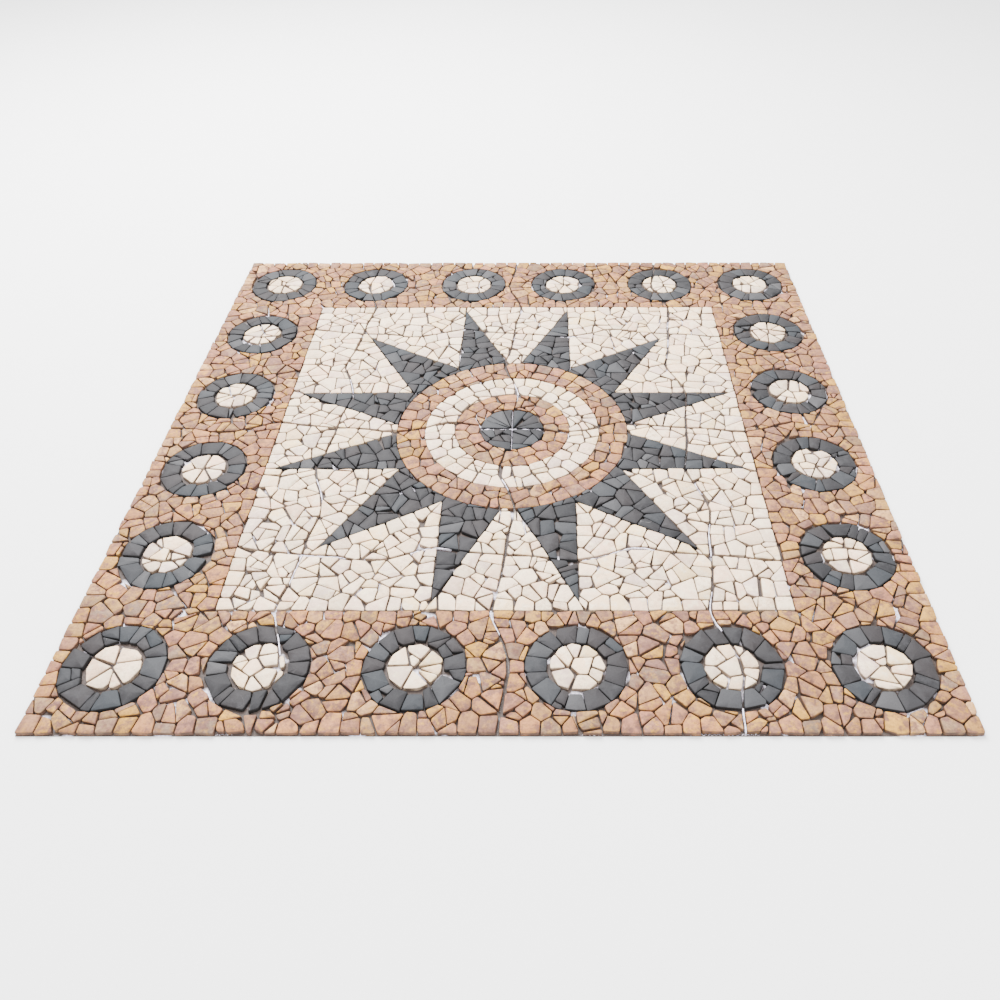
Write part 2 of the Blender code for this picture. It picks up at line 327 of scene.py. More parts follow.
def outside_circle(outline, centre, radius):
    """Cuts a stone straight across where a circle reaches into it."""
    corners = np.array(outline)
    rim = np.linspace(corners, np.roll(corners, -1, 0), 5)[:-1].reshape(-1, 2)
    spots = np.concatenate([rim, (rim + corners.mean(0)) / 2]) - np.array(centre)
    away = np.hypot(*spots.T)
    if away.min() > radius:
        return outline
    if away.max() < radius:
        return []
    facing = spots[away > radius].mean(0)
    facing /= np.hypot(*facing)
    touch = np.array(centre) + facing * (radius - CIRCLE_REACH)
    return clip(outline, touch, flipped(facing))


def frayed(way, number, point):
    """Whether a seam gapes beside a point."""
    along = point[1] if way == 'x' else point[0]
    return any(w == way and n == number and start < along < end for w, n, start, end in FRAYED)


def short_of_seams(outline, mat, chance, spare=0.0):
    """Cuts an outline off at the seams round its mat, short by half the gap or else with some to spare."""
    for way, number, gauge in SEAMS:
        side = 1 if mat[1 if way == 'x' else 0] >= number else -1
        width = FRAYED_GAP if frayed(way, number, middle(outline)) else SEAM_GAP
        gap = width / 2 * chance.uniform(0.5, 1.5)
        if spare:
            gap = -spare
        corners = np.array(outline)
        short = side * gauge(*corners.T) - gap
        if short.min() > 0:
            continue
        crossings = []
        for k in range(len(outline)):
            start, end = corners[k - 1], corners[k]
            a, b = short[k - 1], short[k]
            if a * b < 0:
                low, high = (start, end) if a > 0 else (end, start)
                steps = np.linspace(low, high, SEAM_STEPS)
                inside = side * gauge(*steps.T) > gap
                crossings.append(steps[inside][-1] if inside.any() else low)
        if len(crossings) < 2:
            return []
        (ax, ay), (bx, by) = crossings[0], crossings[-1]
        length = math.hypot(bx - ax, by - ay)
        if length < HAIR:
            continue
        normal = ((by - ay) / length, (ax - bx) / length)
        beyond = corners[short.argmin()]
        if (beyond[0] - ax) * normal[0] + (beyond[1] - ay) * normal[1] < 0:
            normal = flipped(normal)
        outline = clip(outline, (ax, ay), normal)
        if not outline:
            return []
    return outline


# The drawing: field, star, sun and rings

FIELD = square(FIELD_HALF)
PANEL = square(PANEL_HALF)


def ray_corners(ray):
    """Foot, tip and foot of one dark ray."""
    valley = SUN_RADIUS + STAR_VALLEY_RISE
    first = (valley, RAY_ANGLE * ray)
    last = (valley, RAY_ANGLE * (ray + 1))
    if ray % RAYS_PER_QUARTER == 0:
        first = (SUN_RADIUS, first[1] + STAR_FIRST_ANGLE)
    if ray % RAYS_PER_QUARTER == RAYS_PER_QUARTER - 1:
        last = (SUN_RADIUS, last[1] - STAR_FIRST_ANGLE)
    return polar(*first), polar(STAR_TIP_RADIUS, RAY_ANGLE * (ray + 0.5)), polar(*last)


rays = [ray_corners(ray) for ray in range(STAR_RAYS)]
ray_wedges = [sides_of([ORIGIN, first, tip, last]) for first, tip, last in rays]


def ring_place(number):
    """Centre of a border ring, from its box in the frame."""
    low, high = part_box(f"dark_ring_{number:02d}")
    return float(low[0] + high[0]) / 2, float(low[1] + high[1]) / 2


rings = [ring_place(number + 1) for number in range(RING_COUNT)]


# Rows: places for the stones that lie along a line of the drawing, on its left side

def row_along(start, end, row, chance):
    """Places beside a straight line."""
    depth, spacing = row
    length = math.dist(start, end)
    count = max(1, round(length / spacing))
    run = (np.array(end) - start) / length
    left = np.array((-run[1], run[0]))
    along = (np.arange(count) + 0.5 + chance.uniform(-0.24, 0.24, count)) * length / count
    beside = depth / 2 * chance.uniform(0.8, 1.2, count)
    return np.array(start) + along[:, None] * run + beside[:, None] * left


def row_round(centre, radius, row, chance):
    """Places round a circle; a negative depth puts them inside it."""
    depth, spacing = row
    middle_radius = radius + depth / 2
    count = round(math.tau * middle_radius / spacing)
    angles = (np.arange(count) + chance.uniform(-0.22, 0.22, count)) * math.tau / count
    reach = middle_radius + abs(depth) * chance.uniform(-0.08, 0.08, count)
    return np.array(centre) + np.stack([np.cos(angles) * reach, np.sin(angles) * reach], 1)


def thinned(places, least):
    """Places that keep a distance from all those before them."""
    kept = []
    for place in places:
        if all(math.dist(place, other) > least for other in kept):
            kept.append(place)
    return np.array(kept).reshape(-1, 2)


# Laying: where each stone goes and what outline it is broken to

def spread(points, count, chance):
    """Even places for a number of heaps over the sample points of one patch."""
    seeds = points[chance.choice(len(points), count, replace=False)]
    for _ in range(SETTLING_ROUNDS):
        nearest = ((points[:, None, :] - seeds[None, :, :]) ** 2).sum(-1).argmin(1)
        sizes = np.maximum(np.bincount(nearest, minlength=count), 1)
        for axis in (0, 1):
            sums = np.bincount(nearest, weights=points[:, axis], minlength=count)
            seeds[:, axis] = sums / sizes
    return seeds


def cells(seeds, radii):
    """Outline of the ground that falls to each place; a place with a larger radius takes more of it."""
    found = []
    for index, (x, y) in enumerate(seeds):
        outline = square(REACH, (x, y))
        steps = seeds - seeds[index]
        squares = (steps ** 2).sum(1)
        for other in np.argsort(squares)[1:NEIGHBOURS + 1]:
            share = 0.5 + (radii[index] ** 2 - radii[other] ** 2) / (2 * squares[other])
            point = (x + steps[other][0] * share, y + steps[other][1] * share)
            outline = clip(outline, point, steps[other])
        found.append(outline)
    return found


def split(outline, chance):
    """Breaks a stone in two across its longer way."""
    corners = np.array(outline)
    centre = corners.mean(0)
    sizes, ways = np.linalg.eigh(np.cov((corners - centre).T))
    angle = math.atan2(ways[1, 1], ways[0, 1]) + chance.normal(0, SPLIT_TURN)
    normal = (math.cos(angle), math.sin(angle))
    point = centre + np.array(normal) * chance.normal(0, SPLIT_SHIFT) * math.sqrt(max(sizes[1], 0.0)) * 2
    return [clip(outline, point, normal), clip(outline, point, flipped(normal))]


def broken(outline, stone_area, chance):
    """Breaks an outline again and again, down to single stones."""
    if not outline:
        return []
    longest = max(math.dist(start, end) for start in outline for end in outline)
    size = area(outline) / stone_area
    if size < chance.uniform(1.15, 1.9):
        if size < 0.5 or longest < LONGEST_STONE * chance.uniform(0.9, 1.15):
            return [outline]
    first, second = split(outline, chance)
    return broken(first, stone_area, chance) + broken(second, stone_area, chance)


def patch(points, rows, row, stone_area, trim, mat, chance):
    """Outlines of the stones that fill one patch: its rows, then heaps of ground broken to stones."""
    depth = row[0]
    rows = thinned(rows, depth * ROW_CLEARANCE)
    if len(rows):
        squares = ((points[:, None, :] - rows[None, :, :]) ** 2).sum(-1).min(1)
        points = points[squares > (depth * ROW_GROUND) ** 2]
    ground = len(points) * SAMPLE_STEP ** 2
    heaps = round(ground / (stone_area * STONES_PER_HEAP))
    if not len(rows):
        heaps = max(heaps, 1)
    heap_seeds = spread(points, heaps, chance) if heaps else np.zeros((0, 2))
    heap_radius = math.sqrt(ground / max(heaps, 1) / math.pi) * HEAP_SHARE
    seeds = np.concatenate([rows, heap_seeds])
    radii = np.array([depth / 2] * len(rows) + [heap_radius] * heaps) * chance.uniform(0.9, 1.1, len(seeds))
    outlines = []
    for cell in cells(seeds, radii):
        for piece in trim([cell]):
            piece = short_of_seams(piece, mat, chance, SEAM_SPARE)
            stones = [short_of_seams(stone, mat, chance) for stone in broken(piece, stone_area, chance)]
            outlines += [stone for stone in stones if stone]
    return outlines


def seam_angles(centre, radius):
    """Angles at which the seams cross a circle."""
    angles = np.linspace(0, math.tau, 1441)
    x = centre[0] + radius * np.cos(angles)
    y = centre[1] + radius * np.sin(angles)
    found = []
    for *_, gauge in SEAMS:
        beyond = gauge(x, y) > 0
        found += [float(angle) for angle in angles[1:][beyond[1:] != beyond[:-1]]]
    return sorted(found)


def short_of_cross(outline, seed):
    """Cuts an outline off at the straight cross that parts the sun's disc."""
    for axis in (0, 1):
        normal = [0.0, 0.0]
        normal[axis] = -1.0 if seed[axis] > 0 else 1.0
        point = (-normal[0] * CROSS_GAPS[0] / 2, -normal[1] * CROSS_GAPS[1] / 2)
        outline = clip(outline, point, normal)
    return outline


def sectors(centre, inner, outer, length, chance, split_share=0.0, breaks=None):
    """Stones of one row round a centre by mat, parted at the breaks or else where a seam crosses the row."""
    halfway = (inner + outer) / 2
    partings = breaks or seam_angles(centre, halfway)
    ends = partings or [chance.uniform(0, math.tau)]
    overlap = SECTOR_OVERLAP / halfway if partings else 0.0
    stones = {}
    for start, end in zip(ends, ends[1:] + [ends[0] + math.tau]):
        span = end - start
        count = max(1, round(span * halfway / length))
        angles = start + span * np.arange(count + 1) / count
        angles[1:-1] += chance.uniform(-0.34, 0.34, count - 1) * span / count
        skews = chance.uniform(-0.13, 0.13, count + 1) * span / count
        skews[[0, -1]] = 0.0
        for k in range(count):
            seed = polar(halfway, (angles[k] + angles[k + 1]) / 2, centre)
            a = angles[k] - (overlap if k == 0 else 0.0)
            b = angles[k + 1] + (overlap if k == count - 1 else 0.0)
            short = chance.uniform(*RING_END_SWAY, 4)
            outline = [polar(outer - short[0], a + skews[k], centre),
                       polar(outer - short[1], b + skews[k + 1], centre)]
            if inner:
                outline += [polar(inner + short[2], b - skews[k + 1], centre),
                            polar(inner + short[3], a - skews[k], centre)]
            else:
                outline = outline[:1] + [polar(outer, (a + b) / 2, centre)] + outline[1:] + [centre]
            mat = tuple(int(part[0]) for part in mat_of(np.array([seed])))
            outline = short_of_cross(outline, seed) if breaks else short_of_seams(outline, mat, chance)
            if outline:
                parts = split(outline, chance) if chance.random() < split_share else [outline]
                stones.setdefault(mat, []).extend(parts)
    return stones


def without_short_edges(corners):
    """Closes up the short edges of an outline."""
    corners = list(corners)
    while len(corners) > 3:
        lengths = [math.dist(start, end) for start, end in edges(corners)]
        shortest = lengths.index(min(lengths))
        if lengths[shortest] > SHORT_EDGE:
            break
        following = (shortest + 1) % len(corners)
        corners[shortest] = middle([corners[shortest], corners[following]])
        del corners[following]
    return corners


def dress(outline, joint, chance):
    """Finishes one stone's outline: joints opened, some corners lost and all of them worn round."""
    corners = without_short_edges(outline)
    stone = corners
    for start, end in edges(corners):
        length = math.dist(start, end)
        if length < HAIR / 10 or not stone:
            continue
        normal = ((end[1] - start[1]) / length, (start[0] - end[0]) / length)
        turn = chance.normal(0, EDGE_TILT)
        back = chance.uniform(0, joint)
        if any(min(abs(start[k]), abs(end[k])) > PANEL_HALF - HAIR for k in (0, 1)):
            turn = chance.normal(0, OUTER_TILT)
            back = chance.uniform(0, OUTER_SWAY)
            at_loops = any(low < start[0] < high for low, high in LOOP_SPANS)
            if at_loops and start[1] < -PANEL_HALF + HAIR:
                back = LOOP_SETBACK
        tilted = (normal[0] - normal[1] * turn, normal[1] + normal[0] * turn)
        pivot = middle([start, end])
        stone = clip(stone, (pivot[0] - normal[0] * back, pivot[1] - normal[1] * back), tilted)
    if stone and chance.random() < LOST_CORNER_SHARE:
        x, y = stone[chance.integers(len(stone))]
        centre = middle(stone)
        away = math.dist((x, y), centre)
        inward = ((centre[0] - x) / away, (centre[1] - y) / away)
        loss = chance.uniform(*CORNER_LOSS)
        stone = clip(stone, (x + inward[0] * loss, y + inward[1] * loss), flipped(inward))
    if not stone or area(stone) < SMALLEST_STONE:
        return []
    worn = []
    for before, corner, after in zip(stone[-1:] + stone[:-1], stone, stone[1:] + stone[:1]):
        lengths = [math.dist(corner, other) for other in (before, after)]
        if min(lengths) < SHORTEST_WORN:
            worn.append(corner)
            continue
        corner = np.array(corner)
        shares = [min(CORNER_ROUNDING * chance.uniform(0.5, 1.3) / length, 0.4) for length in lengths]
        start, end = [corner + (other - corner) * share for other, share in zip((before, after), shares)]
        worn += [tuple(start), tuple((start + 2 * corner + end) / 4), tuple(end)]
    return worn


# Modelling: outlines become worn stones on their mat

def new_object(name, data):
    """An object of the scene that shows some data."""
    made = bpy.data.objects.new(name, data)
    bpy.context.collection.objects.link(made)
    return made


def mesh_piece(name, vertices, faces):
    """A mesh object from its corner points and faces."""
    mesh = bpy.data.meshes.new(name)
    mesh.from_pydata(vertices, [], faces)
    return new_object(name, mesh)


def flat_faces(name, outlines, height):
    """A mesh object with one face for each outline."""
    vertices = []
    faces = []
    for outline in outlines:
        faces.append(range(len(vertices), len(vertices) + len(outline)))
        vertices += [(x, y, height) for x, y in outline]
    return mesh_piece(name, vertices, faces)


def extrude(piece, heights, crown=0.0):
    """Extrudes flat faces from height to height; a crown raises a middle point on the top of each. The
    piece stays selected and active."""
    bpy.ops.object.select_all(action='DESELECT')
    piece.select_set(True)
    bpy.context.view_layer.objects.active = piece
    bpy.ops.object.mode_set(mode='EDIT')
    bpy.ops.mesh.select_all(action='SELECT')
    for low, high in zip(heights, heights[1:]):
        bpy.ops.mesh.extrude_region_move(TRANSFORM_OT_translate={"value": (0, 0, high - low)})
    if crown:
        bpy.ops.mesh.poke(offset=crown)
    bpy.ops.mesh.select_all(action='SELECT')
    bpy.ops.mesh.normals_make_consistent(inside=False)
    bpy.ops.object.mode_set(mode='OBJECT')


def stone_numbers(mesh):
    """Number of the stone that each vertex belongs to."""
    pairs = np.empty(len(mesh.edges) * 2, int)
    mesh.edges.foreach_get("vertices", pairs)
    pairs = pairs.reshape(-1, 2)
    labels = np.arange(len(mesh.vertices))
    before = None
    while before is None or (before != labels).any():
        before = labels.copy()
        lowest = before[pairs].min(1)
        for end in (0, 1):
            np.minimum.at(labels, pairs[:, end], lowest)
    return np.unique(labels, return_inverse=True)[1]


def settle(piece, chance):
    """Wears each stone's sides in, sets it high, low or tilted, and gives it numbers for its colour."""
    mesh = piece.data
    numbers = stone_numbers(mesh)
    count = numbers.max() + 1
    spots = np.empty(len(mesh.vertices) * 3)
    mesh.vertices.foreach_get("co", spots)
    spots = spots.reshape(-1, 3)
    sizes = np.bincount(numbers, minlength=count)
    centres = np.stack([np.bincount(numbers, spots[:, k], count) / sizes for k in (0, 1)], 1)
    away = spots[:, :2] - centres[numbers]
    reach = np.bincount(numbers, np.hypot(*away.T), count) / sizes
    under = [0.0] + [level[0] for level in reversed(LEVELS)] + [TOP - FOOT]
    below = TOP - spots[:, 2]
    inward = np.interp(below, under, [0.0] + [level[1] for level in reversed(LEVELS)] + [0.0])
    depth = np.interp(below, under, DEPTHS)
    away *= (1 - inward / reach[numbers])[:, None]
    above_foot = spots[:, 2] > FOOT + WORN_ABOVE_FOOT
    away += chance.normal(0, ARRIS_WEAR, away.shape) * above_foot[:, None]
    spots[:, :2] = np.clip(centres[numbers] + away, -PANEL_HALF, PANEL_HALF)
    drops = chance.uniform(0, HEIGHT_SPREAD, count)
    tilts = chance.normal(0, TILT_SPREAD, (count, 2))
    lift = (tilts[numbers] * away).sum(1) - drops[numbers] + chance.normal(0, ARRIS_WEAR, len(spots))
    upper = spots[:, 2] > (FOOT + TOP) / 2
    spots[:, 2] = np.where(upper, np.minimum(spots[:, 2] + lift, TOP), spots[:, 2])
    mesh.vertices.foreach_set("co", spots.ravel())
    own = np.ones((len(spots), 4))
    own[:, :3] = chance.random((count, 3))[numbers]
    mesh.attributes.new("stone", 'FLOAT_COLOR', 'POINT').data.foreach_set("color", own.ravel())
    mesh.attributes.new("depth", 'FLOAT', 'POINT').data.foreach_set("value", depth)
    mesh.update()


def lay(name, outlines, node, slot, chance):
    """One group of stones as a finished piece that stands for its node."""
    worn = [dress(outline, JOINTS[slot], chance) for outline in outlines]
    piece = flat_faces(name, [outline for outline in worn if outline], FOOT)
    extrude(piece, [FOOT] + [TOP - depth for depth, inward in LEVELS], LEVELS[-1][0])
    settle(piece, chance)
    bpy.ops.object.shade_smooth_by_angle(angle=SMOOTH_BELOW)
    piece.data.materials.append(stone_finishes[slot])
    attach(piece, "root")
    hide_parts(node)


# Shader maths

SHEEN = 0.22


class Value:
    """A shader number or colour that can be written into sums."""

    def __init__(self, finish, socket):
        self.finish = finish
        self.socket = socket

    def join(self, operation, first, second):
        """Two numbers joined by one operation."""
        return self.finish.node('ShaderNodeMath', {"operation": operation}, {0: first, 1: second})

    def __add__(self, other):
        return self.join('ADD', self, other)

    def __sub__(self, other):
        return self.join('SUBTRACT', self, other)

    def __rsub__(self, other):
        return self.join('SUBTRACT', other, self)

    def __mul__(self, other):
        return self.join('MULTIPLY', self, other)

    def __abs__(self):
        return self.join('ABSOLUTE', self, 0.0)

    __radd__ = __add__
    __rmul__ = __mul__

    def larger(self, other):
        """The larger of two numbers."""
        return self.join('MAXIMUM', self, other)

    def between(self, low, high):
        """A number stretched so that low becomes 0 and high becomes 1."""
        sockets = {"Value": self, "From Min": low, "From Max": high}
        return self.finish.node('ShaderNodeMapRange', {"clamp": True}, sockets)


class Finish:
    """A material that is built up node by node."""

    def __init__(self, name, roughness):
        self.material = bpy.data.materials.new(name)
        self.material.use_nodes = True
        self.nodes = self.material.node_tree.nodes
        self.links = self.material.node_tree.links
        self.shader = self.nodes["Principled BSDF"]
        self.shader.inputs["Roughness"].default_value = roughness
        self.shader.inputs["Specular IOR Level"].default_value = SHEEN

    def node(self, kind, settings=None, sockets=None, output=0):
        """Adds a node with its settings and the values or links of its sockets."""
        made = self.nodes.new(kind)
        for name, value in (settings or {}).items():
            if name == "stops":
                self.set_stops(made.color_ramp, value)
            else:
                setattr(made, name, value)
        for name, value in (sockets or {}).items():
            if isinstance(value, Value):
                self.links.new(value.socket, made.inputs[name])
            else:
                made.inputs[name].default_value = value
        return Value(self, made.outputs[output])

    def set_stops(self, ramp, stops):
        """Gives a colour ramp its stops, each a place and a colour."""
        for index, (place, colour) in enumerate(stops):
            stop = ramp.elements[index] if index < 2 else ramp.elements.new(place)
            stop.position = place
            stop.color = (*colour, 1.0)

    def mix(self, factor, first, second, blend='MIX'):
        """Mixes two colours."""
        settings = {"data_type": 'RGBA', "blend_type": blend}
        first = first if isinstance(first, Value) else (*first, 1.0)
        second = second if isinstance(second, Value) else (*second, 1.0)
        return self.node('ShaderNodeMix', settings, {0: factor, 6: first, 7: second}, output=2)

    def noise(self, vector, scale, detail, roughness):
        """Cloudy numbers from 0 to 1."""
        sockets = {"Vector": vector, "Scale": scale, "Detail": detail, "Roughness": roughness}
        return self.node('ShaderNodeTexNoise', None, sockets)

    def ramp(self, factor, stops):
        """Colour read off a ramp."""
        return self.node('ShaderNodeValToRGB', {"stops": stops}, {0: factor})

    def darken(self, colour, value, stops, factor=1.0):
        """A colour times the greys that a value reads off a ramp, each stop a place and a level."""
        greys = self.ramp(value, [(place, (level, level, level)) for place, level in stops])
        return self.mix(factor, colour, greys, 'MULTIPLY')

    def feed(self, name, value):
        """Links a value to one of the shader's sockets."""
        self.links.new(value.socket, self.shader.inputs[name])

    def bump(self, height, distance, strength, below=None):
        """Surface relief from a height."""
        sockets = {"Height": height, "Distance": distance, "Strength": strength}
        if below is not None:
            sockets["Normal"] = below
        return self.node('ShaderNodeBump', None, sockets)

    def stone(self, colour, roughness, hollows, grain):
        """The finished material of a stone, with a fine grain over its hollows."""
        self.feed("Base Color", colour)
        self.feed("Roughness", roughness)
        self.feed("Normal", self.bump(grain, 0.0002, 0.5, hollows))
        return self.material


def stone_space(finish):
    """Place on the stone, moved by the stone's own numbers so that no two share a pattern, the numbers
    themselves and the depth under the crown."""
    place = finish.node('ShaderNodeTexCoord', output=3)
    own = finish.node('ShaderNodeAttribute', {"attribute_name": "stone"})
    sockets = {0: own, 1: (3, 3, 3), 2: place}
    moved = finish.node('ShaderNodeVectorMath', {"operation": 'MULTIPLY_ADD'}, sockets)
    numbers = [finish.node('ShaderNodeSeparateColor', None, {0: own}, output=k) for k in (0, 1, 2)]
    depth = finish.node('ShaderNodeAttribute', {"attribute_name": "depth"}, output=2)
    return moved, numbers, depth


def line_near(cloud, width):
    """Thin winding lines where a cloud passes through its middle value."""
    return 1 - abs(cloud - 0.5).between(0.0, width)


def shaded_dusty_sides(depth):
    """How far down the sides of a stone the dust and painted shade reach."""
    return depth.between(0.30, 0.60)


def marble(name, tones, clouds, vein, dust_and_shade, dust_and_shade_share, mottling, roughness, pits):
    """Tumbled marble: a tone for each stone, clouds and veins inside it, sides darkened by dust and painted
    shade, and a pitted face.
    """
    finish = Finish(name, roughness)
    place, (tone, light, warmth), depth = stone_space(finish)
    colour = finish.ramp(tone, tones)
    cloud = finish.noise(place, 75.0, 4.0, 0.62)
    colour = finish.mix(cloud.between(0.48, 0.60) * 0.85, colour, clouds[0])
    second = finish.noise(place, 125.0, 5.0, 0.7)
    colour = finish.mix(second.between(0.50, 0.64) * (0.15 + warmth * 0.75), colour, clouds[1])
    bent = finish.noise(place, 38.0, 3.0, 0.55)
    veins = line_near(bent, 0.010) * warmth.between(0.45, 0.60)
    colour = finish.mix(veins * 0.6, colour, vein)
    colour = finish.darken(colour, light, ((0.0, 0.74), (0.5, 0.95), (1.0, 1.0)))
    mottle = finish.noise(place, 200.0, 5.0, 0.75)
    colour = finish.darken(colour, mottle, ((0.42, mottling), (0.58, 1.0)))
    grain = finish.noise(place, 850.0, 3.0, 0.7)
    colour = finish.darken(colour, grain, ((0.30, 0.80), (0.55, 1.0)), 0.8)
    uneven = finish.noise(place, 90.0, 2.0, 0.5).between(0.35, 0.60)
    # Sides darkened towards the foot of each stone: partly dust, partly painted shade in the joints between
    # stones
    colour = finish.mix(shaded_dusty_sides(depth) * (uneven * (1 - dust_and_shade_share) + dust_and_shade_share), colour, dust_and_shade)
    hollows = finish.noise(place, 260.0, 4.0, 0.65)
    sheen = cloud.between(0.2, 0.8) * 0.15 + (roughness - 0.08)
    return finish.stone(colour, sheen, finish.bump(hollows, 0.0010, pits), grain)


def slate(name, tones, bloom, scratch, dust_and_shade, roughness):
    """Dark stone with a pale bloom, a few scratches and sides darkened by painted shade and dust."""
    finish = Finish(name, roughness)
    place, (tone, light, warmth), depth = stone_space(finish)
    colour = finish.ramp(tone, tones)
    cloud = finish.noise(place, 60.0, 5.0, 0.65)
    colour = finish.mix(cloud.between(0.45, 0.68) * (light * 0.7), colour, bloom)
    bent = finish.noise(place, 17.0, 1.0, 0.4)
    scratches = line_near(bent, 0.003) * warmth.between(0.88, 0.94)
    colour = finish.mix(scratches * cloud.between(0.45, 0.6) * 0.6, colour, scratch)
    grain = finish.noise(place, 700.0, 3.0, 0.7)
    colour = finish.darken(colour, grain, ((0.30, 0.72), (0.60, 1.0)), 0.8)
    # Sides darkened towards the foot of each stone: painted shade in the joints, with some dust
    colour = finish.mix(shaded_dusty_sides(depth) * 0.85, colour, dust_and_shade)
    hollows = finish.noise(place, 230.0, 4.0, 0.6)
    sheen = cloud.between(0.2, 0.8) * 0.18 + (roughness - 0.09)
    return finish.stone(colour, sheen, finish.bump(hollows, 0.0006, 0.6), grain)


def woven_net(name):
    """White net of glass threads, mostly darkened where it lies under the stones: partly adhesive stain,
    partly painted shade in the joints.
    """
    finish = Finish(name, 0.6)
    place = finish.node('ShaderNodeTexCoord', output=3)
    across = finish.node('ShaderNodeTexWave', {"bands_direction": 'X'}, {"Vector": place, "Scale": 63.0})
    along = finish.node('ShaderNodeTexWave', {"bands_direction": 'Y'}, {"Vector": place, "Scale": 63.0})
    threads = across.larger(along)
    colour = finish.mix(threads.between(0.5, 0.9), (0.66, 0.60, 0.74), (0.92, 0.88, 0.97))
    height = finish.node('ShaderNodeSeparateXYZ', None, {0: place}, output=2)
    clean = finish.noise(place, 16.0, 3.0, 0.6).between(0.56, 0.62)
    stain_and_shade = 1 - clean.larger(height.between(0.0012, 0.0016))
    # Dark colour on the net under the stones: adhesive stain and painted shade seen down the joints
    colour = finish.mix(stain_and_shade * 0.98, colour, (0.048, 0.032, 0.024))
    finish.feed("Base Color", colour)
    finish.feed("Normal", finish.bump(threads, 0.0004, 0.6))
    return finish.material


CREAM_TONES = ((0.0, (0.95, 0.70, 0.38)), (0.2, (0.95, 0.67, 0.44)), (0.4, (0.95, 0.73, 0.51)),
               (0.6, (0.74, 0.56, 0.47)), (0.8, (0.92, 0.61, 0.41)), (1.0, (0.95, 0.77, 0.56)))
CREAM_CLOUDS = ((0.95, 0.77, 0.55), (0.70, 0.50, 0.34))
ROSE_TONES = ((0.0, (0.31, 0.150, 0.067)), (0.15, (0.51, 0.220, 0.089)), (0.3, (0.24, 0.121, 0.091)),
              (0.45, (0.56, 0.286, 0.049)), (0.6, (0.25, 0.160, 0.108)), (0.75, (0.42, 0.175, 0.106)),
              (0.9, (0.32, 0.162, 0.081)), (1.0, (0.71, 0.40, 0.18)))
ROSE_CLOUDS = ((0.19, 0.090, 0.070), (0.60, 0.31, 0.04))
SLATE_TONES = ((0.0, (0.015, 0.015, 0.017)), (0.25, (0.023, 0.022, 0.024)), (0.5, (0.028, 0.024, 0.025)),
               (0.75, (0.025, 0.029, 0.034)), (1.0, (0.064, 0.062, 0.065)))

stone_finishes = {
    "cream_marble": marble("cream_marble", CREAM_TONES, CREAM_CLOUDS, vein=(0.52, 0.37, 0.25),
                           dust_and_shade=(0.16, 0.112, 0.082), dust_and_shade_share=0.60, mottling=0.90,
                           roughness=0.72, pits=0.7),
    "rose_marble": marble("rose_marble", ROSE_TONES, ROSE_CLOUDS, vein=(0.15, 0.06, 0.04),
                          dust_and_shade=(0.075, 0.042, 0.030), dust_and_shade_share=0.60, mottling=0.74,
                          roughness=0.70, pits=1.0),
    "dark_marble": slate("dark_marble", SLATE_TONES, bloom=(0.052, 0.051, 0.055),
                         scratch=(0.20, 0.19, 0.19), dust_and_shade=(0.015, 0.014, 0.014), roughness=0.68)}
white_net = woven_net("white_net")


# Sample points over the whole panel, tests that sort them into patches, and trims for the stones

axis = np.arange(-PANEL_HALF + SAMPLE_STEP / 2, PANEL_HALF, SAMPLE_STEP)
samples = np.stack(np.meshgrid(axis, axis), -1).reshape(-1, 2)


def among(points, sides):
    """Which points lie inside a convex shape."""
    inside = np.ones(len(points), bool)
    for point, normal in sides:
        inside &= (points - point) @ normal < 0
    return inside


def near(points, centre, radius):
    """Which points lie inside a circle."""
    return np.hypot(*(points - centre).T) < radius


def in_ray(ray):
    """Test for the points of one ray."""
    return lambda points: among(points, ray_wedges[ray]) & ~near(points, ORIGIN, SUN_RADIUS)


def in_cream(points):
    """Which points lie on the cream field."""
    open_field = (np.abs(points).max(1) < FIELD_HALF) & ~near(points, ORIGIN, SUN_RADIUS)
    return open_field & ~np.any([among(points, wedge) for wedge in ray_wedges], axis=0)


def in_rose(points):
    """Which points lie on the rose border."""
    border = (np.abs(points).max(1) > FIELD_HALF) & (np.abs(points).max(1) < PANEL_HALF)
    return border & ~np.any([near(points, centre, RING_RADIUS) for centre in rings], axis=0)


def between_circles(centre, inner, outer):
    """Test for the points between two circles."""
    return lambda points: near(points, centre, outer) & ~near(points, centre, inner)


def trim_cream(outlines):
    """Keeps cream stones in the field and off the rays."""
    outlines = keep_inside(sides_of(FIELD))(outlines)
    for wedge in ray_wedges:
        outlines = outside(outlines, wedge)
    return outlines


def trim_rose(outlines):
    """Keeps rose stones on the panel and off the field."""
    return outside(keep_inside(sides_of(PANEL))(outlines), sides_of(FIELD))


def trim_middle(centre, chance):
    """Keeps stones inside the uneven middle of one ring."""
    turn = chance.uniform(0, math.tau)
    rim = []
    for k in range(RING_MIDDLE_SIDES):
        radius = RING_MIDDLE_RADIUS * chance.uniform(*RING_MIDDLE_SHARES)
        rim.append(polar(radius, turn + math.tau * k / RING_MIDDLE_SIDES, centre))
    return keep_inside(sides_of(rim))


